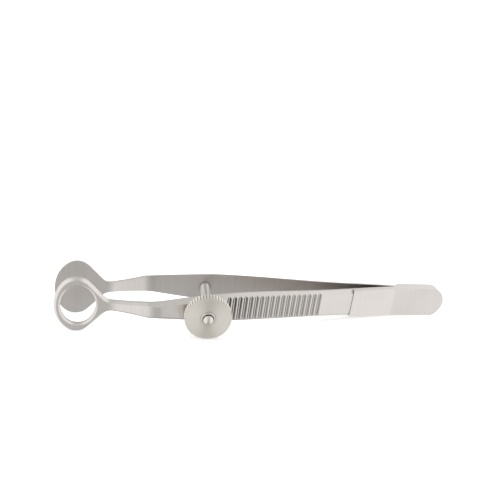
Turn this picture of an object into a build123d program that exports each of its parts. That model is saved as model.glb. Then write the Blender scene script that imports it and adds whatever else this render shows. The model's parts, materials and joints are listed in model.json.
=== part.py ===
from build123d import *
import math
import os

# Chalazion eyelid forceps: two spring arms joined at the heel, an oval plate on one
# and an oval ring on the other, drawn together by a knurled nut on a fixed screw.
#
# The arms are drawn about their own middle plane: X runs from the jaw tips (0) to the
# heel, +Y is the plate's side and -Y the ring's, and Z runs across the arms' width.
# At the end the whole instrument is laid on its edges and centred over the origin.

# Lengths along the arms, the stations measured from the jaw tips
overall_length = 92.2
heel_length = 12.8
spring_reach = 11.35
plain_reach = 8.55
shoulder_reach = 9.0
bend_past_neck = 1.1

# Gap from the middle plane to an arm's inner face, arms at rest
tip_gap = 3.4
jaw_root_gap = 3.8
shoulder_gap = 6.0

# Sheet, milled thinner from the step in front of the spring stretch to the jaws
spring_thickness = 1.35
arm_thickness = 1.2
jaw_thickness = 1.0
bend_radius = 10.0
edge_bevel = 0.5

# Wider flats ground on the outer corners of the shoulder and of the grip
shoulder_flat = 0.95
grip_flat = 0.75

# Arm outline, as half widths
neck_half = 1.25
shoulder_half = 2.0
grip_half = 3.45
waist_half = 3.35
heel_half = 3.6
heel_bulge = 2.6

# Jaws
jaw_width = 13.0
jaw_length = 9.4
neck_reach = 1.8
neck_fillet = 2.5
window_tip_rim = 1.35
window_side_rim = 1.9
window_neck_rim = 0.6
window_bevel = 0.38

# Grip grooves across the outer faces
groove_pitch = 1.28
groove_width = 0.95
groove_floor = 0.25
groove_depth = 0.35

# Screw post, riveted in the plate's arm and square to it
post_station = 34.0
post_diameter = 2.2
post_proud = 1.0
post_end_dome = 0.45
tenon_diameter = 1.6
rivet_diameter = 2.4
rivet_depth = 0.4
rivet_fit = 0.01
slot_clearance = 0.17
post_to_grooves = 3.6

# Thumb nut
nut_diameter = 10.3
nut_disc = 1.8
nut_seat_gap = 0.15
nut_hub_length = 1.35
nut_hub_diameter = 4.2
nut_hub_root = 5.4
nut_boss_diameter = 3.0
nut_boss_height = 0.3
nut_dish = 0.2
nut_rim_land = 0.55
nut_edge_break = 0.2
thread_clearance = 0.05
bore_countersink = 0.25
knurl_count = 48
knurl_depth = 0.22

# How far the jaws close, leaving this much between their tips
closed_tip_gap = 0.3

# Picking out faces and corners: an outer face leans less than this, in degrees
outer_face_lean = 30.0
same_place = 0.01

# Worked out from the sizes above
neck_station = jaw_length + neck_reach
jaw_bend = neck_station + bend_past_neck
outer_bend = jaw_bend + shoulder_reach
spring_root = overall_length - heel_length
spring_front = spring_root - spring_reach
heel_start = overall_length - heel_bulge
groove_first = post_station + post_to_grooves
groove_last = spring_front - plain_reach
arm_slope = math.degrees(math.atan2(shoulder_gap, spring_root - outer_bend))
outer_face_rise = math.cos(math.radians(outer_face_lean))
closing_angle = math.degrees(2 * math.atan2(tip_gap, spring_root) - math.atan2(closed_tip_gap, spring_root))
arm_rise = arm_thickness / math.cos(math.radians(arm_slope))
shoulder_start = (jaw_bend + outer_bend) / 2
jaw_half = jaw_width / 2
jaw_reach = jaw_length / 2
post_radius = post_diameter / 2
clear_of_all = 2 * jaw_width


def inner_gap(station):
    """Distance from the middle plane to the inner face on an arm's straight stretch."""
    return shoulder_gap * (spring_root - station) / (spring_root - outer_bend)


def side_line(jaw_lift, arm_lift):
    """The plate arm's inner face in side view, lifted outward by these amounts.

    It starts a little before the jaw's tip.
    """
    toe_in = (jaw_root_gap - tip_gap) / jaw_bend
    bent = FilletPolyline(
        (-jaw_reach, tip_gap - jaw_reach * toe_in + jaw_lift), (jaw_bend, jaw_root_gap + jaw_lift),
        (outer_bend, shoulder_gap + arm_lift), (spring_root, arm_lift),
        radius=bend_radius,
    )
    return bent + Line((spring_root, arm_lift), (overall_length, arm_lift))


def strip(jaw_lift, arm_lift, start, end):
    """A stretch of the sheet at full width, between the inner face and the lifted outer face."""
    inner, outer = side_line(0, 0), side_line(jaw_lift, arm_lift)
    ends = Line(inner @ 0, outer @ 0) + Line(inner @ 1, outer @ 1)
    side_view = make_face(inner.edges() + outer.edges() + ends.edges())
    stretch = Pos((start + end) / 2, 0) * Rectangle(end - start, clear_of_all)
    return extrude(side_view & stretch, amount=clear_of_all, both=True)


def tangent_point(station, half_width):
    """Point of the jaw's oval where a straight line from the neck touches it."""
    across, up = (station - jaw_reach) / jaw_reach, half_width / jaw_half
    turn = math.atan2(up, across) + math.acos(1 / math.hypot(up, across))
    return jaw_reach * (1 + math.cos(turn)), jaw_half * math.sin(turn)


def arm_outline():
    """Front view of either arm: oval jaw, straight flanks, neck, waisted arm, round heel."""
    oval = Pos(jaw_reach, 0) * Ellipse(jaw_reach, jaw_half)
    flank = Line(tangent_point(neck_station, neck_half), (neck_station, neck_half))
    edge = Spline(
        (neck_station, neck_half), (outer_bend, shoulder_half), (groove_first, grip_half),
        (groove_last, waist_half), (spring_root, heel_half),
        tangents=((1, 0), (1, 0)),
    )
    heel_edge = Line((spring_root, heel_half), (heel_start, heel_half))
    heel_end = ThreePointArc((heel_start, heel_half), (overall_length, 0), (heel_start, -heel_half))
    upper = flank.edges() + edge.edges() + heel_edge.edges()
    lower = mirror(Curve() + [flank, edge, heel_edge], Plane.XZ).edges()
    front = Line(flank @ 0, ((flank @ 0).X, -(flank @ 0).Y))
    arm = make_face(upper + heel_end.edges() + lower + front.edges())
    outline = oval + arm
    necks = [v for v in outline.vertices() if abs(v.X - neck_station) < same_place]
    return fillet(necks, neck_fillet)


def upright(sketch, reach=clear_of_all):
    """A front-view sketch carried through the arms' whole depth."""
    return extrude(Plane.XZ * sketch, amount=reach, both=True)


def outer_rim_edges(arm):
    """Edges round the outer face, without the square cut at the arm's rear."""
    outer = arm.faces().filter_by(lambda f: f.normal_at().Y > outer_face_rise)
    edges = [e for f in outer for e in f.edges()]
    rim = [e for e in edges if sum(e.is_same(other) for other in edges) == 1]
    return [e for e in rim if e.center().X < spring_front - arm_thickness]


def grip_grooves():
    """Cross grooves of the grip, seen from the side and cut through the arm's width."""
    count = int((groove_last - groove_first) / groove_pitch) + 1
    top, floor = groove_width / 2, groove_floor / 2
    groove = make_face(Polyline(
        (-floor, -groove_depth), (floor, -groove_depth), (top, 0), (top, groove_depth),
        (-top, groove_depth), (-top, 0), close=True,
    ))
    cuts = Sketch()
    for index in range(count):
        station = groove_last - index * groove_pitch
        cuts += Pos(station, inner_gap(station) + arm_rise) * Rot(0, 0, -arm_slope) * groove
    return extrude(cuts, amount=clear_of_all, both=True)


def corner_flats(lean, station, half, width, start, end):
    """Solids beyond two flats at 45 degrees to the outer face, leaning down the arm.

    Each flat takes this width off a corner of the outer face that stands this half width
    from the arm's centre at the station.
    """
    reach = jaw_width / 2
    corner = inner_gap(station) + arm_rise
    beyond = make_face(Polyline(
        (corner + reach, half - width - reach), (corner + reach, half + reach),
        (corner - width - reach, half + reach), close=True,
    ))
    upper = extrude(Plane.YZ * beyond, amount=overall_length, both=True)
    leaning = Pos(station, corner, 0) * Rot(0, 0, -lean) * Pos(-station, -corner, 0)
    stretch = Pos((start + end) / 2, 0, 0) * Box(end - start, overall_length, overall_length)
    return (leaning * (upper + mirror(upper, Plane.XY))) & stretch


def arm_blank():
    """The plate's arm without its rivet hole: bent sheet cut to outline, bevelled and grooved."""
    outline = upright(arm_outline())
    front = strip(jaw_thickness, arm_rise, -jaw_reach, spring_front) & outline
    front = chamfer(outer_rim_edges(front), edge_bevel)
    front -= corner_flats(0, outer_bend, shoulder_half, shoulder_flat, shoulder_start, spring_front)
    front -= corner_flats(arm_slope, groove_last, waist_half, grip_flat, post_station, spring_front)
    spring = strip(spring_thickness, spring_thickness, spring_front, overall_length) & outline
    return front + spring - grip_grooves()


def post_place():
    """Frame of the screw: on the plate arm's inner face, its axis square to that face."""
    lean = math.radians(arm_slope)
    return Plane(
        origin=(post_station, inner_gap(post_station), 0),
        x_dir=(math.cos(lean), -math.sin(lean), 0),
        z_dir=(-math.sin(lean), -math.cos(lean), 0),
    ).location


def ring_arm_height(offset, opening):
    """Height above the plate's arm, along the screw, of the ring arm's outer face.

    The offset is taken from the screw's axis towards the jaws, the opening in degrees.
    """
    lean = math.radians(opening)
    reach = (spring_root - post_station) / math.cos(math.radians(arm_slope)) + offset
    return reach * math.tan(lean) + arm_thickness / math.cos(lean)


def nut_face_height():
    """Height of the nut's front face above the plate's arm, the hub just off the ring's arm."""
    seat = ring_arm_height(nut_hub_diameter / 2, 2 * arm_slope)
    return seat + nut_seat_gap + nut_hub_length + nut_disc


def turned(*corners):
    """A turned piece from half its section, given as (radius, height) corners."""
    section = make_face(Polyline(*[(r, 0, h) for r, h in corners], close=True))
    return revolve(section, Axis.Z)


def rivet_hole():
    """Hole in the plate's arm, widened at the outer face for the rivet's head."""
    shank = tenon_diameter / 2 + rivet_fit
    head = rivet_diameter / 2 + rivet_fit
    return turned(
        (0, post_radius), (shank, post_radius), (shank, rivet_depth - arm_thickness),
        (head, -arm_thickness), (head, -2 * arm_thickness), (0, -2 * arm_thickness),
    )


def screw_post():
    """Screw with a tenon through the plate's arm, spread flush there, and a domed free end."""
    tip = nut_face_height() + post_proud
    dome_radius = (post_radius ** 2 + post_end_dome ** 2) / (2 * post_end_dome)
    shaft = turned(
        (0, -arm_thickness), (rivet_diameter / 2, -arm_thickness),
        (tenon_diameter / 2, rivet_depth - arm_thickness), (tenon_diameter / 2, 0),
        (post_radius, 0), (post_radius, tip), (0, tip),
    )
    dome = Pos(0, 0, tip - dome_radius) * Sphere(dome_radius)
    below = Pos(0, 0, tip - post_end_dome) * Cylinder(
        post_diameter, clear_of_all, align=(Align.CENTER, Align.CENTER, Align.MAX)
    )
    return shaft & (dome + below)


def thumb_nut():
    """Knurled disc with a tapered hub towards the ring's arm and a low boss outside."""
    bore = post_radius + thread_clearance
    rim = nut_diameter / 2
    face = nut_face_height()
    rear = face - nut_disc
    boss = face + nut_boss_height
    nut = turned(
        (bore, rear - nut_hub_length), (nut_hub_diameter / 2, rear - nut_hub_length),
        (nut_hub_root / 2, rear), (rim - nut_edge_break, rear), (rim, rear + nut_edge_break),
        (rim, face - nut_edge_break), (rim - nut_edge_break, face),
        (rim - nut_rim_land, face), (nut_boss_diameter / 2, face - nut_dish),
        (nut_boss_diameter / 2, boss), (bore + bore_countersink, boss), (bore, boss - bore_countersink),
    )
    half = math.pi * rim / knurl_count
    vee = make_face(Polyline(
        (-knurl_depth, 0), (0, -half), (knurl_depth, -2 * half),
        (knurl_depth, 2 * half), (0, half), close=True,
    ))
    gaps = Sketch() + [Rot(0, 0, 360 * n / knurl_count) * Pos(rim, 0) * vee for n in range(knurl_count)]
    return nut - Pos(0, 0, rear) * extrude(gaps, amount=nut_disc)


def post_slot():
    """Slot through the ring's arm that clears the screw from open to closed."""
    lean = math.radians(arm_slope)
    along = (spring_root - post_station) / math.cos(lean)
    open_lean, closed_lean = 2 * lean, 2 * lean - math.radians(closing_angle)
    far = along / math.cos(open_lean) + arm_thickness * math.tan(open_lean) + post_radius / math.cos(open_lean)
    near = (along - post_radius) / math.cos(closed_lean)
    length = far - near + 2 * slot_clearance
    face = Plane(
        origin=(spring_root, 0, 0),
        x_dir=(-math.cos(lean), -math.sin(lean), 0),
        z_dir=(math.sin(lean), -math.cos(lean), 0),
    )
    slot = face * Pos((near + far) / 2, 0) * SlotOverall(length, post_diameter + 2 * slot_clearance)
    return extrude(slot, amount=2 * arm_thickness, both=True)


def ring_arm():
    """The plate arm's mirror image with a window in its jaw and a slot for the screw."""
    length = jaw_length - window_tip_rim - window_neck_rim
    window = Pos(window_tip_rim + length / 2, 0) * Ellipse(length / 2, jaw_half - window_side_rim)
    arm = mirror(arm_blank(), Plane.XZ) - upright(window)
    jaw_face = arm.faces().filter_by(lambda f: f.normal_at().Y < -outer_face_rise).sort_by(Axis.X)[0]
    arm = chamfer(jaw_face.inner_wires()[0].edges(), window_bevel)
    return arm - post_slot()


def resting_place(pieces):
    """Turn and shift that lay the forceps on the jaws' lower rims and the heel's corner."""
    tip_up = math.degrees(math.atan2(jaw_half - heel_half, heel_start - jaw_reach))
    laid = Rot(0, tip_up, 0) * Compound(children=list(pieces))
    box = laid.bounding_box()
    return Pos(-box.center().X, -box.center().Y, -box.min.Z) * Rot(0, tip_up, 0)


def forceps():
    """All pieces by name, where they rest."""
    post = post_place()
    pieces = {
        "plate_arm": arm_blank() - post * rivet_hole(),
        "ring_arm": ring_arm(),
        "screw_post": post * screw_post(),
        "thumb_nut": post * thumb_nut(),
    }
    place = resting_place([piece.solid() for piece in pieces.values()])
    return {name: place * piece.solid() for name, piece in pieces.items()}


if __name__ == "__main__":
    os.makedirs("parts", exist_ok=True)
    for name, solid in forceps().items():
        export_step(solid, f"parts/{name}.step")
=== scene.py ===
"""Chalazion forceps: looks for the packed CAD model, and the studio that it is shown in."""

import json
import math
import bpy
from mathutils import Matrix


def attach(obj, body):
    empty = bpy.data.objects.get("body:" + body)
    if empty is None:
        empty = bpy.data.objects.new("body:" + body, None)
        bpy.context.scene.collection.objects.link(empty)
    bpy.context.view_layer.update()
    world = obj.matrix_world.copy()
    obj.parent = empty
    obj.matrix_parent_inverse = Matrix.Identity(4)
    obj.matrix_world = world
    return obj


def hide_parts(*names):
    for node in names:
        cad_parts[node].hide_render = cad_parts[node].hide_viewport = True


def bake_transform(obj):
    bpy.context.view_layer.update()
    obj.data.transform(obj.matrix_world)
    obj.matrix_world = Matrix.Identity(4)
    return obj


bl_info = {
    "name": "Chalazion Forceps",
    "version": (1, 0, 0),
    "blender": (4, 5, 0),
    "location": "View3D > Sidebar > Forceps",
    "description": "Dresses the forceps' arms, screw and thumb nut, and lights them",
    "category": "Object",
}

import bmesh
import bpy
from bpy.props import FloatProperty, FloatVectorProperty, IntProperty, PointerProperty
from mathutils import Matrix, Vector

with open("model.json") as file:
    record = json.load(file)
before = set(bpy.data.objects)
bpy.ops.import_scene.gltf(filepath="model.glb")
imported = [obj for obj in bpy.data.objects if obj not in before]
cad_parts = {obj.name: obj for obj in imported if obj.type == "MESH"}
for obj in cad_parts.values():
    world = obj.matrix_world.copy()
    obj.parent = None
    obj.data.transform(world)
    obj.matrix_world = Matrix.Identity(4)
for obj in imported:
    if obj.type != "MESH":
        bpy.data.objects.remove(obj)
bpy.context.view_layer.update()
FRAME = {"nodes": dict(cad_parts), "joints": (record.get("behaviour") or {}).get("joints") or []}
MM = 0.001

# The arms' spring stretch, from the squeeze joint's axis at the heel towards the jaws, and the
# number of parts that it is cut into, fine enough to bend in a smooth curve.
SPRING_LENGTH = 11.35 * MM
SPRING_PARTS = 12
# The chamfer on the rear arm's outer edges along that stretch.
SPRING_CHAMFER = 0.8 * MM
# Thickness of the sheet that the screw's rivet goes through.
SHEET = 1.2 * MM
# Where the neck, the grip's grooves and the heel's weld lie, along X.
NECK = -34 * MM
GRIP = (-10 * MM, 16 * MM)
HEEL = 32 * MM
# Room for rounding, where an edge is found by its place, and the distance at which points merge.
SLACK = 0.3 * MM
MERGE = 0.0005 * MM
# Cosines of the angle between a face's normal and an axis: above the first the face looks along
# the axis, and between the next two, for X, it is the leaning wall of a groove.
FACING = 0.9
WALL = (0.4, 0.9)

# The share of the light on the arms' inner faces, at places from the neck (0) to the heel (1).
INNER_LIGHT = (
    (0.0, 1.0), (0.08, 0.9), (0.45, 0.88), (0.68, 0.85), (0.78, 0.8), (0.88, 0.72), (0.95, 0.5))
# The share of the light on the grooves' walls, next to the nut and a little way along the grip.
GROOVE_LIGHT = (0.2, 0.52)
NUT_SHADE = 12 * MM

# The light tent, by the direction from the object as a unit vector. Its dim seam changes between
# these two heights: its light, the place of its middle along X, and how far it has widened.
TENT_HEIGHTS = (-0.3, 0.5)
SEAM_LIGHT = (0.42, 0.59)
SEAM_MIDDLE = (0.05, 0.0)
SEAM_WIDENING = 0.12
# Where the cloth goes from the seam's light to full white, to the left and right of the middle.
SEAM_EDGE = (0.16, 0.39)
# Light that the floor adds for the camera, so that it is as white as the background.
FLOOR_GLOW = 0.4


# Shared helpers


def linear(hex_colour):
    """An sRGB hex colour as a linear RGBA tuple."""
    channels = [int(hex_colour[i:i + 2], 16) / 255 for i in (1, 3, 5)]
    values = [c / 12.92 if c <= 0.04045 else ((c + 0.055) / 1.055) ** 2.4 for c in channels]
    return (*values, 1.0)


def add_node(tree, kind, inputs=None, **settings):
    """A new node with its settings, and its inputs given as values or as sockets to link."""
    node = tree.nodes.new(kind)
    for key, value in settings.items():
        setattr(node, key, value)
    for key, value in (inputs or {}).items():
        if isinstance(value, bpy.types.NodeSocket):
            tree.links.new(value, node.inputs[key])
        else:
            node.inputs[key].default_value = value
    return node


def math_node(tree, operation, *values):
    """A Math node's result."""
    return add_node(tree, "ShaderNodeMath", dict(enumerate(values)), operation=operation).outputs[0]


def new_material(name):
    """An empty node material and its tree."""
    material = bpy.data.materials.new(name)
    material.use_nodes = True
    material.node_tree.nodes.clear()
    return material, material.node_tree


def finish_material(tree, shader):
    """Links a shader to the material's output."""
    add_node(tree, "ShaderNodeOutputMaterial", {"Surface": shader.outputs[0]})


def screw_frame():
    """Place of the screw: its origin at the rivet's outer end, and Z outwards through the nut."""
    joint = next(j for j in FRAME["joints"] if j["name"] == "nut_travel")
    outward = -Vector(joint["axis"]).normalized()
    side = outward.cross(Vector((0, 0, 1))).normalized()
    turn = Matrix((side, outward.cross(side), outward)).transposed()
    local = turn.transposed()
    rim = [local @ v.co for v in FRAME["nodes"]["thumb_nut"].data.vertices]
    post = [local @ v.co for v in FRAME["nodes"]["screw_post"].data.vertices]
    centre = [(min(p[i] for p in rim) + max(p[i] for p in rim)) / 2 for i in (0, 1)]
    origin = turn @ Vector((centre[0], centre[1], min(p.z for p in post)))
    return Matrix.Translation(origin) @ turn.to_4x4()


def heights_on_screw(node):
    """Lowest and highest point of a CAD node along the screw, in metres."""
    inverse = screw_frame().inverted()
    heights = [(inverse @ v.co).z for v in FRAME["nodes"][node].data.vertices]
    return min(heights), max(heights)


def lathe(name, profile, segments):
    """A mesh turned round Z from (radius, height) points, with a UV map round it and along them."""
    bm = bmesh.new()
    uv = bm.loops.layers.uv.new("turning")
    rings = []
    for radius, height in profile:
        if radius < MERGE:
            rings.append([bm.verts.new((0, 0, height))])
            continue
        turns = [2 * math.pi * k / segments for k in range(segments)]
        rings.append([
            bm.verts.new((radius * math.cos(t), radius * math.sin(t), height)) for t in turns])
    steps = [0.0]
    for (r0, h0), (r1, h1) in zip(profile, profile[1:]):
        steps.append(steps[-1] + math.hypot(r1 - r0, h1 - h0))
    for row, (low, high) in enumerate(zip(rings, rings[1:])):
        for k in range(segments):
            n = (k + 1) % segments
            corners = [low[k % len(low)], low[n % len(low)], high[n % len(high)], high[k % len(high)]]
            places = [(k, row), (k + 1, row), (k + 1, row + 1), (k, row + 1)]
            kept = [(c, p) for i, (c, p) in enumerate(zip(corners, places)) if c not in corners[:i]]
            if len(kept) < 3:
                continue
            face = bm.faces.new([c for c, _ in kept])
            face.smooth = True
            for loop, (_, (across, along)) in zip(face.loops, kept):
                loop[uv].uv = (across / segments, steps[along] / steps[-1])
    bmesh.ops.recalc_face_normals(bm, faces=bm.faces)
    mesh = bpy.data.meshes.new(name)
    bm.to_mesh(mesh)
    bm.free()
    return mesh


def show(mesh, name):
    """A new object for a mesh, in the scene."""
    piece = bpy.data.objects.new(name, mesh)
    bpy.context.scene.collection.objects.link(piece)
    return piece


def run_tree(piece, tree, values):
    """Runs a Geometry Nodes tree on a piece with named inputs, and leaves a plain mesh."""
    modifier = piece.modifiers.new(tree.name, "NODES")
    modifier.node_group = tree
    sockets = {s.name: s.identifier for s in tree.interface.items_tree if s.in_out == "INPUT"}
    for label, value in values.items():
        modifier[sockets[label]] = value
    graph = bpy.context.evaluated_depsgraph_get()
    mesh = bpy.data.meshes.new_from_object(piece.evaluated_get(graph))
    piece.modifiers.remove(modifier)
    piece.data = mesh


def soften(piece, angle=30.0):
    """Smooth faces, sharp edges past an angle, and normals that follow the large faces."""
    piece.data.shade_smooth()
    piece.data.set_sharp_from_angle(angle=math.radians(angle))
    weighted = piece.modifiers.new("Weighted Normal", "WEIGHTED_NORMAL")
    weighted.keep_sharp = True


# Materials


def dimmed(tree, colour, share):
    """A colour times a share of the light."""
    return add_node(
        tree, "ShaderNodeVectorMath", {0: colour, "Scale": share}, operation="SCALE").outputs[0]


def crevices(tree, reach, strength):
    """The share of the light that reaches a crevice, whose walls mirror each other and so lose it."""
    open_sky = add_node(tree, "ShaderNodeAmbientOcclusion", {"Distance": reach}, samples=16)
    return math_node(tree, "POWER", open_sky.outputs["AO"], strength)


def between_arms(tree, place):
    """The share of the light that reaches the arms' inner faces, which go dark towards the heel."""
    inside = add_node(tree, "ShaderNodeAttribute", attribute_name="inside")
    along = add_node(tree, "ShaderNodeSeparateXYZ", {"Vector": place.outputs["Object"]})
    station = add_node(tree, "ShaderNodeMapRange", {
        "Value": along.outputs["X"], "From Min": NECK, "From Max": HEEL})
    fall = add_node(tree, "ShaderNodeValToRGB", {"Fac": station.outputs[0]})
    stops = fall.color_ramp.elements
    for stop, (position, share) in zip(stops, (INNER_LIGHT[0], INNER_LIGHT[-1])):
        stop.position, stop.color = position, (share, share, share, 1)
    for position, share in INNER_LIGHT[1:-1]:
        stops.new(position).color = (share, share, share, 1)
    # A Mix node has inputs of one name for each data type, so they are given by number.
    return add_node(tree, "ShaderNodeMix", {
        0: inside.outputs["Fac"], 2: 1.0, 3: fall.outputs["Color"]}, data_type="FLOAT").outputs[0]


def groove_walls(tree, place):
    """The share of the light on the grooves' walls, as painted shade in their colour: least next to
    the nut, whose dark back they would mirror.
    """
    wall = add_node(tree, "ShaderNodeAttribute", attribute_name="groove_wall")
    along = add_node(tree, "ShaderNodeSeparateXYZ", {"Vector": place.outputs["Object"]})
    share = add_node(tree, "ShaderNodeMapRange", {
        "Value": along.outputs["X"], "From Min": GRIP[0], "From Max": GRIP[0] + NUT_SHADE,
        "To Min": GROOVE_LIGHT[0], "To Max": GROOVE_LIGHT[1]})
    return add_node(tree, "ShaderNodeMapRange", {
        "Value": wall.outputs["Fac"], "To Min": 1.0, "To Max": share.outputs[0]}).outputs[0]


def satin_ground_steel(values):
    """Martensitic stainless steel, ground and satin finished: a pale warm grey metal whose fine
    grinding lines run across the arms, seen as faint stripes and a soft, wide highlight."""
    material, tree = new_material("satin_ground_steel")
    place = add_node(tree, "ShaderNodeTexCoord")
    # Grinding lines 0.05 to 0.15 mm apart in the real surface, drawn about 0.35 mm apart to show,
    # and about 11 mm long, so that they cross an arm.
    across = add_node(tree, "ShaderNodeMapping", {
        "Vector": place.outputs["Object"], "Rotation": (0, values.arm_tilt, 0),
        "Scale": (2800, 300, 90)})
    lines = add_node(tree, "ShaderNodeTexNoise", {
        "Vector": across.outputs[0], "Scale": 1.0, "Detail": 3.0, "Roughness": 0.6})
    # Finer and coarser patches of the finish, about 6 mm across.
    cloud = add_node(tree, "ShaderNodeTexNoise", {
        "Vector": place.outputs["Object"], "Scale": 160.0, "Detail": 3.0, "Roughness": 0.55})
    stripes = add_node(tree, "ShaderNodeMapRange", {
        "Value": lines.outputs["Fac"], "From Min": 0.25, "From Max": 0.75})
    colour = add_node(tree, "ShaderNodeMix", {
        0: stripes.outputs[0], 6: values.steel_dark, 7: values.steel_light},
        data_type="RGBA")
    rough = add_node(tree, "ShaderNodeMapRange", {
        "Value": cloud.outputs["Fac"], "From Min": 0.3, "From Max": 0.7,
        "To Min": values.steel_roughness - 0.03, "To Max": values.steel_roughness + 0.03})
    bump = add_node(tree, "ShaderNodeBump", {
        "Height": lines.outputs["Fac"], "Strength": 0.06, "Distance": 0.02 * MM})
    # Painted shade: the base colour is dimmed in crevices, on the arms' inner faces towards the heel,
    # and on the grooves' walls.
    light = math_node(tree, "MULTIPLY", crevices(tree, 0.8 * MM, 0.8), between_arms(tree, place))
    light = math_node(tree, "MULTIPLY", light, groove_walls(tree, place))
    metal = add_node(tree, "ShaderNodeBsdfPrincipled", {
        "Base Color": dimmed(tree, colour.outputs[2], light),
        "Metallic": 1.0, "Roughness": rough.outputs[0],
        "Normal": bump.outputs[0]})
    finish_material(tree, metal)
    return material


def turned_steel(values):
    """Stainless steel faced on a lathe: fine rings round the axis, which catch the light in two
    sectors."""
    material, tree = new_material("turned_steel")
    rings = add_node(tree, "ShaderNodeUVMap", uv_map="turning")
    split = add_node(tree, "ShaderNodeSeparateXYZ", {"Vector": rings.outputs[0]})
    along = add_node(tree, "ShaderNodeCombineXYZ", {"X": split.outputs["Y"]})
    # Tool marks 0.1 mm apart on a profile about 17 mm long.
    marks = add_node(tree, "ShaderNodeTexNoise", {
        "Vector": along.outputs[0], "Scale": 170.0, "Detail": 2.0, "Roughness": 0.6})
    bump = add_node(tree, "ShaderNodeBump", {
        "Height": marks.outputs["Fac"], "Strength": 0.1, "Distance": 0.01 * MM})
    tangent = add_node(tree, "ShaderNodeTangent", direction_type="UV_MAP", uv_map="turning")
    # Painted shade: the base colour is dimmed in the nut's crevices.
    metal = add_node(tree, "ShaderNodeBsdfPrincipled", {
        "Base Color": dimmed(tree, values.nut_colour[:3], crevices(tree, 0.3 * MM, 1.5)),
        "Metallic": 1.0, "Roughness": values.nut_roughness,
        "Anisotropic": 0.85, "Anisotropic Rotation": 0.25, "Tangent": tangent.outputs[0],
        "Normal": bump.outputs[0]})
    finish_material(tree, metal)
    return material


def cut_thread_steel(values):
    """Bright stainless steel with a cut thread: smoother than the arms, with painted shade in its
    roots.
    """
    material, tree = new_material("cut_thread_steel")
    place = add_node(tree, "ShaderNodeTexCoord")
    # Marks of the die, finer than 0.1 mm in the real thread, drawn 0.4 mm apart to show.
    grain = add_node(tree, "ShaderNodeTexNoise", {
        "Vector": place.outputs["Object"], "Scale": 2500.0, "Detail": 2.0})
    bump = add_node(tree, "ShaderNodeBump", {
        "Height": grain.outputs["Fac"], "Strength": 0.08, "Distance": 0.01 * MM})
    # Painted shade: the base colour is dimmed in the thread's roots.
    metal = add_node(tree, "ShaderNodeBsdfPrincipled", {
        "Base Color": dimmed(tree, values.screw_colour[:3], crevices(tree, 0.4 * MM, 1.5)),
        "Metallic": 1.0, "Roughness": values.screw_roughness,
        "Normal": bump.outputs[0]})
    finish_material(tree, metal)
    return material


# Geometry Nodes


def radial_tree(name, labels):
    """A tree with its inputs, and a point's height, turn and flat place round the axis."""
    tree = bpy.data.node_groups.new(name, "GeometryNodeTree")
    tree.interface.new_socket("Geometry", in_out="INPUT", socket_type="NodeSocketGeometry")
    tree.interface.new_socket("Geometry", in_out="OUTPUT", socket_type="NodeSocketGeometry")
    for label in labels:
        tree.interface.new_socket(label, in_out="INPUT", socket_type="NodeSocketFloat")
    start = add_node(tree, "NodeGroupInput")
    position = add_node(tree, "GeometryNodeInputPosition")
    split = add_node(tree, "ShaderNodeSeparateXYZ", {"Vector": position.outputs[0]})
    turn = math_node(tree, "ARCTAN2", split.outputs["Y"], split.outputs["X"])
    flat = add_node(tree, "ShaderNodeCombineXYZ", {"X": split.outputs["X"], "Y": split.outputs["Y"]})
    return tree, start, split.outputs["Z"], turn, flat.outputs[0]


def close_tree(tree, start, flat, depth, material):
    """Moves each point towards the axis by a depth, then realizes and paints the result."""
    outward = add_node(tree, "ShaderNodeVectorMath", {0: flat}, operation="NORMALIZE")
    inward = math_node(tree, "MULTIPLY", depth, -1.0)
    shift = add_node(tree, "ShaderNodeVectorMath", {
        0: outward.outputs[0], "Scale": inward}, operation="SCALE")
    moved = add_node(tree, "GeometryNodeSetPosition", {
        "Geometry": start.outputs["Geometry"], "Offset": shift.outputs[0]})
    real = add_node(tree, "GeometryNodeRealizeInstances", {"Geometry": moved.outputs[0]})
    painted = add_node(tree, "GeometryNodeSetMaterial", {
        "Geometry": real.outputs[0], "Material": material})
    add_node(tree, "NodeGroupOutput", {"Geometry": painted.outputs[0]})


def knurl_tree(material):
    """Straight knurl: flat-topped teeth round the rim, with a vee gap between each two."""
    tree, start, _, turn, flat = radial_tree(
        "straight_knurl", ("Teeth", "Tooth depth", "Gap share", "Land radius"))
    per_turn = math_node(tree, "DIVIDE", start.outputs["Teeth"], 2 * math.pi)
    off_gap = math_node(tree, "PINGPONG", math_node(tree, "MULTIPLY", turn, per_turn), 0.5)
    gap = add_node(tree, "ShaderNodeMapRange", {
        "Value": off_gap, "From Max": start.outputs["Gap share"],
        "To Min": start.outputs["Tooth depth"], "To Max": 0.0})
    radius = add_node(tree, "ShaderNodeVectorMath", {0: flat}, operation="LENGTH")
    on_rim = math_node(
        tree, "GREATER_THAN", radius.outputs["Value"], start.outputs["Land radius"])
    close_tree(tree, start, flat, math_node(tree, "MULTIPLY", gap.outputs[0], on_rim), material)
    return tree


def thread_tree(material):
    """Vee thread: a groove that winds round the shank, fading out where the thread runs out."""
    tree, start, height, turn, flat = radial_tree(
        "vee_thread", ("Pitch", "Thread depth", "Thread start", "Thread end", "Run-out"))
    climb = math_node(tree, "DIVIDE", height, start.outputs["Pitch"])
    phase = math_node(tree, "SUBTRACT", climb, math_node(tree, "DIVIDE", turn, 2 * math.pi))
    wave = math_node(tree, "MULTIPLY", math_node(tree, "PINGPONG", phase, 0.5), 2.0)
    rise = add_node(tree, "ShaderNodeMapRange", {
        "Value": math_node(tree, "SUBTRACT", height, start.outputs["Thread start"]),
        "From Max": start.outputs["Run-out"]})
    fall = add_node(tree, "ShaderNodeMapRange", {
        "Value": math_node(tree, "SUBTRACT", start.outputs["Thread end"], height),
        "From Max": start.outputs["Run-out"]})
    fade = math_node(tree, "MULTIPLY", rise.outputs[0], fall.outputs[0])
    groove = math_node(tree, "MULTIPLY", wave, fade)
    depth = math_node(tree, "MULTIPLY", groove, start.outputs["Thread depth"])
    close_tree(tree, start, flat, depth, material)
    return tree


# Pieces


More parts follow.
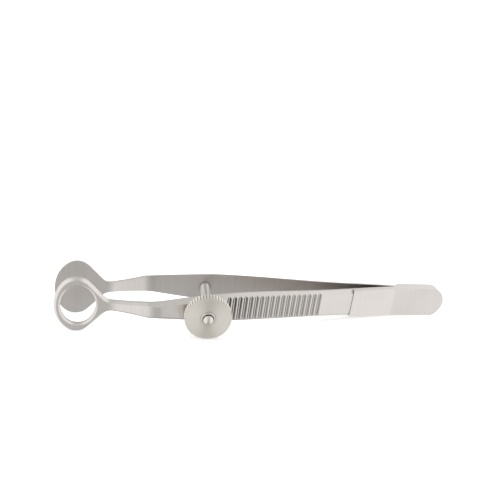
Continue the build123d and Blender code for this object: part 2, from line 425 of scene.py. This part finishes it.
class ForcepsFinish(bpy.types.PropertyGroup):
    """Colours and roughness of the forceps' metals."""

    steel_light: FloatVectorProperty(
        name="Steel, light", description="Lighter colour of the arms",
        default=linear("#ECE7E3"), size=4, min=0.0, max=1.0, subtype="COLOR")
    steel_dark: FloatVectorProperty(
        name="Steel, dark", description="Colour in the grinding lines",
        default=linear("#E4DFDA"), size=4, min=0.0, max=1.0, subtype="COLOR")
    nut_colour: FloatVectorProperty(
        name="Nut", description="Colour of the thumb nut",
        default=linear("#FCF7EE"), size=4, min=0.0, max=1.0, subtype="COLOR")
    screw_colour: FloatVectorProperty(
        name="Screw", description="Colour of the screw",
        default=linear("#E8E5E0"), size=4, min=0.0, max=1.0, subtype="COLOR")
    steel_roughness: FloatProperty(
        name="Arm roughness", description="Roughness of the arms' satin finish",
        default=0.34, min=0.0, max=1.0, subtype="FACTOR")
    nut_roughness: FloatProperty(
        name="Nut roughness", description="Roughness of the nut's turned faces",
        default=0.58, min=0.0, max=1.0, subtype="FACTOR")
    screw_roughness: FloatProperty(
        name="Screw roughness", description="Roughness of the screw",
        default=0.3, min=0.0, max=1.0, subtype="FACTOR")
    arm_tilt: FloatProperty(
        name="Arms' tilt", description="Angle at which the arms lie to the floor",
        default=math.radians(1.956), subtype="ANGLE")


class ForcepsHardware(bpy.types.PropertyGroup):
    """Sizes of the nut and the screw that the solids leave plain."""

    teeth: IntProperty(name="Knurl teeth", description="Teeth round the nut's rim", default=48, min=12)
    tooth_depth: FloatProperty(
        name="Tooth depth", description="Depth of the knurl",
        default=0.14 * MM, unit="LENGTH", precision=5)
    tooth_gap: FloatProperty(
        name="Tooth gap", description="Half the gap between two teeth, as a share of their pitch",
        default=0.18, min=0.05, max=0.5)
    pitch: FloatProperty(
        name="Thread pitch", description="Pitch of the screw's thread",
        default=0.45 * MM, unit="LENGTH", precision=5)
    thread_depth: FloatProperty(
        name="Thread depth", description="Depth of the screw's thread",
        default=0.25 * MM, unit="LENGTH", precision=5)
    disc: FloatProperty(
        name="Disc thickness", description="Thickness of the nut's disc",
        default=1.8 * MM, unit="LENGTH", precision=5)


class ForcepsStudio(bpy.types.PropertyGroup):
    """Camera and floor."""

    camera_place: FloatVectorProperty(
        name="Camera", description="Place of the camera",
        default=(-0.03983, -0.13816, 0.0853), subtype="TRANSLATION")
    azimuth: FloatProperty(
        name="Azimuth", description="Direction of view round the object",
        default=math.radians(-13.598), subtype="ANGLE")
    elevation: FloatProperty(
        name="Elevation", description="Height of the view above the horizon",
        default=math.radians(24.453), subtype="ANGLE")
    roll: FloatProperty(
        name="Roll", description="Turn of the camera about its own axis",
        default=math.radians(-5.732), subtype="ANGLE")
    lens: FloatProperty(
        name="Lens", description="Focal length on a 36 mm sensor",
        default=53.547, subtype="DISTANCE_CAMERA")
    floor_colour: FloatVectorProperty(
        name="Floor", description="Colour of the floor",
        default=linear("#F4F4F4"), size=4, min=0.0, max=1.0, subtype="COLOR")


class FORCEPS_OT_arms(bpy.types.Operator):
    """Dress both arms, and cut the ring's arm into parts along the spring behind the grips"""

    bl_idname = "forceps.arms"
    bl_label = "Arms"

    def execute(self, context):
        material = satin_ground_steel(context.scene.forceps_finish)
        joint = next(j for j in FRAME["joints"] if j["name"] == "squeeze")
        root = Vector(joint["pos_m"])
        towards_jaws = Vector(joint["axis"]).cross(Vector((0, 1, 0))).normalized()
        if towards_jaws.x > 0:
            towards_jaws.negate()
        spring_front = root + SPRING_LENGTH * towards_jaws
        for node, name in (("plate_arm", "arm_with_plate"), ("ring_arm", "arm_with_ring")):
            inward = 1.0 if node == "ring_arm" else -1.0
            bm = bmesh.new()
            bm.from_mesh(FRAME["nodes"][node].data)
            bmesh.ops.remove_doubles(bm, verts=bm.verts, dist=MERGE)
            if node == "plate_arm":
                self.chamfer(bm, spring_front.x, root.x)
            if node == "ring_arm":
                for step in range(1, SPRING_PARTS):
                    cut = root + (spring_front - root) * step / SPRING_PARTS
                    bmesh.ops.bisect_plane(
                        bm, geom=bm.verts[:] + bm.edges[:] + bm.faces[:],
                        plane_co=cut, plane_no=towards_jaws)
            mesh = bpy.data.meshes.new(name)
            bm.to_mesh(mesh)
            bm.free()
            # The CAD mesh's own normals no longer fit once its points are merged.
            mesh.attributes.remove(mesh.attributes["custom_normal"])
            # Faces that get painted shade: the arms' inner faces, and the leaning walls of the grip's
            # grooves.
            self.mark(mesh, "inside", lambda p: p.normal.y * inward > FACING)
            self.mark(mesh, "groove_wall", lambda p: (
                GRIP[0] < p.center.x < GRIP[1] and WALL[0] < abs(p.normal.x) < WALL[1]))
            piece = show(mesh, name)
            mesh.materials.clear()
            mesh.materials.append(material)
            soften(piece)
            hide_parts(node)
            if node == "ring_arm":
                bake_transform(piece)
            else:
                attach(piece, "plate_arm")
        return {"FINISHED"}

    def chamfer(self, bm, front, back):
        """Breaks the rear arm's outer edges along its spring stretch."""
        bm.normal_update()
        edges = [
            e for e in bm.edges
            if all(front - SLACK < v.co.x < back + SLACK for v in e.verts)
            and any(abs(f.normal.z) > FACING for f in e.link_faces)
            and any(f.normal.y > FACING for f in e.link_faces)]
        bmesh.ops.bevel(
            bm, geom=edges, offset=SPRING_CHAMFER, segments=1, affect="EDGES", clamp_overlap=True)

    def mark(self, mesh, name, test):
        """A face attribute that is 1 on the faces that pass a test."""
        layer = mesh.attributes.new(name, "FLOAT", "FACE")
        layer.data.foreach_set("value", [float(test(p)) for p in mesh.polygons])


class FORCEPS_OT_screw(bpy.types.Operator):
    """Make the fixed screw with its thread, rivet and domed end"""

    bl_idname = "forceps.screw"
    bl_label = "Screw"

    def execute(self, context):
        sizes = context.scene.forceps_hardware
        _, high = heights_on_screw("screw_post")
        shank, tenon, rivet, countersunk = 1.1 * MM, 0.8 * MM, 1.2 * MM, 0.4 * MM
        dome, step_in = 0.45 * MM, 0.05 * MM
        points_per_pitch, dome_steps, sides = 8, 8, 48
        # The ball that the domed end is cut from.
        ball = (shank ** 2 + dome ** 2) / (2 * dome)
        length = high - dome - SHEET
        steps = int(length / sizes.pitch * points_per_pitch)
        profile = [(0, 0), (rivet, 0), (tenon, countersunk), (tenon, SHEET), (shank - step_in, SHEET)]
        profile += [(shank, SHEET + length * k / steps) for k in range(1, steps)]
        for k in range(dome_steps + 1):
            turn = math.asin(shank / ball) * (1 - k / dome_steps)
            profile.append((ball * math.sin(turn), high - ball + ball * math.cos(turn)))
        material = cut_thread_steel(context.scene.forceps_finish)
        piece = show(lathe("threaded_screw", profile, sides), "threaded_screw")
        piece.data.materials.append(material)
        run_tree(piece, thread_tree(material), {
            "Pitch": sizes.pitch, "Thread depth": sizes.thread_depth, "Thread start": SHEET,
            "Thread end": high - dome, "Run-out": sizes.pitch})
        piece.data.transform(screw_frame())
        soften(piece, 40.0)
        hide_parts("screw_post")
        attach(piece, "plate_arm")
        return {"FINISHED"}


class FORCEPS_OT_nut(bpy.types.Operator):
    """Make the thumb nut with its hub, knurled rim, dished face and boss"""

    bl_idname = "forceps.nut"
    bl_label = "Thumb nut"

    def execute(self, context):
        sizes = context.scene.forceps_hardware
        low, high = heights_on_screw("thumb_nut")
        rim, boss, boss_height = 5.15 * MM, 1.5 * MM, 0.3 * MM
        hub, hub_root, bore, countersink = 2.1 * MM, 2.7 * MM, 1.15 * MM, 0.15 * MM
        land, dish = 0.55 * MM, 0.2 * MM
        # The rim's rounded edge: its reach, how far in its middle point lies, and the room beside it.
        edge, bulge, margin = 0.2 * MM, 0.06 * MM, 0.1 * MM
        # Broken edges at the hub and the boss, and the tool's rounding at the foot of each.
        hub_edge, boss_edge, corner, foot = 0.1 * MM, 0.08 * MM, 0.15 * MM, 0.1 * MM
        rim_rows, points_per_tooth = 6, 10
        face = high - boss_height
        rear = face - sizes.disc
        rim_height = face - rear - 2 * edge
        profile = [
            (bore, high - countersink), (bore, low), (hub - hub_edge, low), (hub, low + hub_edge),
            (hub_root, rear - corner), (hub_root + corner, rear), (rim - edge - margin, rear),
            (rim - edge, rear), (rim - bulge, rear + bulge)]
        profile += [(rim, rear + edge + rim_height * k / rim_rows) for k in range(rim_rows + 1)]
        profile += [
            (rim - bulge, face - bulge), (rim - edge, face), (rim - land, face),
            (boss + corner, face - dish), (boss, face - dish + foot), (boss, high - boss_edge),
            (boss - boss_edge, high), (bore + countersink, high), (bore, high - countersink)]
        material = turned_steel(context.scene.forceps_finish)
        piece = show(lathe("knurled_nut", profile, sizes.teeth * points_per_tooth), "knurled_nut")
        piece.data.materials.append(material)
        # The gaps are cut through the rim and both its rounded edges, with a little room.
        run_tree(piece, knurl_tree(material), {
            "Teeth": float(sizes.teeth), "Tooth depth": sizes.tooth_depth,
            "Gap share": sizes.tooth_gap, "Land radius": rim - edge - 0.02 * MM})
        bm = bmesh.new()
        bm.from_mesh(piece.data)
        bmesh.ops.remove_doubles(bm, verts=bm.verts, dist=MERGE)
        bmesh.ops.recalc_face_normals(bm, faces=bm.faces)
        bm.to_mesh(piece.data)
        bm.free()
        piece.data.transform(screw_frame())
        soften(piece, 28.0)
        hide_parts("thumb_nut")
        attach(piece, "thumb_nut")
        return {"FINISHED"}


class FORCEPS_OT_stage(bpy.types.Operator):
    """Set the floor, the soft studio light and the camera"""

    bl_idname = "forceps.stage"
    bl_label = "Stage"

    def execute(self, context):
        scene = context.scene
        studio = scene.forceps_studio
        scene.view_settings.view_transform = "Standard"
        self.world(scene)
        self.floor(studio)
        self.lamp()
        self.camera(scene, studio)
        return {"FINISHED"}

    def world(self, scene):
        """A light tent: bright cloth to the left and right, and a dimmer seam that runs over the top.
        The camera sees plain white instead, and the metal mirrors the tent."""
        world = bpy.data.worlds.new("light_tent")
        scene.world = world
        world.use_nodes = True
        tree = world.node_tree
        tree.nodes.clear()
        ray = add_node(tree, "ShaderNodeLightPath")
        direction = add_node(tree, "ShaderNodeTexCoord")
        split = add_node(tree, "ShaderNodeSeparateXYZ", {"Vector": direction.outputs["Generated"]})
        up = add_node(tree, "ShaderNodeMapRange", {
            "Value": split.outputs["Z"], "From Min": TENT_HEIGHTS[0], "From Max": TENT_HEIGHTS[1]},
            interpolation_type="SMOOTHSTEP")
        seam = add_node(tree, "ShaderNodeMapRange", {
            "Value": up.outputs[0], "To Min": SEAM_LIGHT[0], "To Max": SEAM_LIGHT[1]})
        middle = add_node(tree, "ShaderNodeMapRange", {
            "Value": up.outputs[0], "To Min": SEAM_MIDDLE[0], "To Max": SEAM_MIDDLE[1]})
        widening = math_node(tree, "MULTIPLY", up.outputs[0], SEAM_WIDENING)
        aside = math_node(tree, "SUBTRACT", split.outputs["X"], middle.outputs[0])
        off_middle = math_node(tree, "ABSOLUTE", aside)
        cloth = add_node(tree, "ShaderNodeMapRange", {
            "Value": math_node(tree, "SUBTRACT", off_middle, widening),
            "From Min": SEAM_EDGE[0], "From Max": SEAM_EDGE[1],
            "To Min": seam.outputs[0], "To Max": 1.0},
            interpolation_type="SMOOTHSTEP")
        white = (1, 1, 1, 1)
        seen = add_node(tree, "ShaderNodeBackground", {"Color": white, "Strength": 1.0})
        tent = add_node(tree, "ShaderNodeBackground", {"Color": white, "Strength": cloth.outputs[0]})
        behind = add_node(tree, "ShaderNodeMixShader", {
            0: ray.outputs["Is Camera Ray"], 1: tent.outputs[0], 2: seen.outputs[0]})
        add_node(tree, "ShaderNodeOutputWorld", {"Surface": behind.outputs[0]})

    def floor(self, studio):
        """A pale sheet that keeps the object's shadow. Mirrored rays pass through it to the tent."""
        material, tree = new_material("pale_floor")
        ray = add_node(tree, "ShaderNodeLightPath")
        paper = add_node(tree, "ShaderNodeBsdfDiffuse", {"Color": studio.floor_colour})
        glow = add_node(tree, "ShaderNodeEmission", {
            "Color": (1, 1, 1, 1),
            "Strength": math_node(tree, "MULTIPLY", ray.outputs["Is Camera Ray"], FLOOR_GLOW)})
        lit = add_node(tree, "ShaderNodeAddShader", {0: paper.outputs[0], 1: glow.outputs[0]})
        through = add_node(tree, "ShaderNodeBsdfTransparent")
        finish_material(tree, add_node(tree, "ShaderNodeMixShader", {
            0: ray.outputs["Is Glossy Ray"], 1: lit.outputs[0], 2: through.outputs[0]}))
        bm = bmesh.new()
        bmesh.ops.create_grid(bm, x_segments=1, y_segments=1, size=1.0)
        mesh = bpy.data.meshes.new("floor")
        bm.to_mesh(mesh)
        bm.free()
        mesh.materials.append(material)
        sheet = show(mesh, "floor")
        # The sheet casts no shadow, so it isn't taken for the wall of a crevice.
        sheet.visible_shadow = False

    def lamp(self):
        """A wide soft box overhead, which throws the shadow and isn't mirrored in the metal."""
        light = bpy.data.lights.new("soft_box", "AREA")
        light.shape = "RECTANGLE"
        light.size, light.size_y = 0.5, 0.4
        light.energy = 1.2
        lamp = bpy.data.objects.new("soft_box", light)
        lamp.location = (0.0, 0.05, 0.45)
        lamp.visible_glossy = False
        bpy.context.scene.collection.objects.link(lamp)

    def camera(self, scene, studio):
        """The photograph's view, with the roll that lays the arms as they lie there."""
        a, e = studio.azimuth, studio.elevation
        forward = Vector((-math.sin(a) * math.cos(e), math.cos(a) * math.cos(e), -math.sin(e)))
        level = Vector((math.cos(a), math.sin(a), 0))
        upright = level.cross(forward)
        right = level * math.cos(studio.roll) - upright * math.sin(studio.roll)
        up = level * math.sin(studio.roll) + upright * math.cos(studio.roll)
        data = bpy.data.cameras.new("view")
        data.lens = studio.lens
        data.sensor_width = 36.0
        data.clip_start, data.clip_end = 0.005, 10.0
        camera = bpy.data.objects.new("view", data)
        camera.matrix_world = Matrix.Translation(Vector(studio.camera_place)) @ Matrix(
            (right, up, -forward)).transposed().to_4x4()
        scene.collection.objects.link(camera)
        scene.camera = camera


class FORCEPS_PT_panel(bpy.types.Panel):
    """Lists the forceps' operators and their values"""

    bl_idname = "FORCEPS_PT_panel"
    bl_label = "Chalazion Forceps"
    bl_space_type = "VIEW_3D"
    bl_region_type = "UI"
    bl_category = "Forceps"

    def draw(self, context):
        column = self.layout.column()
        for operator in OPERATORS:
            column.operator(operator.bl_idname)
        for key, group in GROUPS.items():
            column.label(text=group.__doc__)
            for name in group.__annotations__:
                column.prop(getattr(context.scene, key), name)


OPERATORS = (FORCEPS_OT_arms, FORCEPS_OT_screw, FORCEPS_OT_nut, FORCEPS_OT_stage)
GROUPS = {
    "forceps_finish": ForcepsFinish,
    "forceps_hardware": ForcepsHardware,
    "forceps_studio": ForcepsStudio,
}


def register():
    """Registers the classes, and gives each scene the forceps' values."""
    for cls in (*GROUPS.values(), *OPERATORS, FORCEPS_PT_panel):
        bpy.utils.register_class(cls)
    for name, group in GROUPS.items():
        setattr(bpy.types.Scene, name, PointerProperty(type=group))


def unregister():
    """Takes away what register added."""
    for name in GROUPS:
        delattr(bpy.types.Scene, name)
    for cls in (FORCEPS_PT_panel, *reversed(OPERATORS), *reversed(GROUPS.values())):
        bpy.utils.unregister_class(cls)


def main():
    """Makes every piece and the stage."""
    register()
    for operator in OPERATORS:
        group, name = operator.bl_idname.split(".")
        getattr(getattr(bpy.ops, group), name)()


if __name__ == "__main__":
    main()
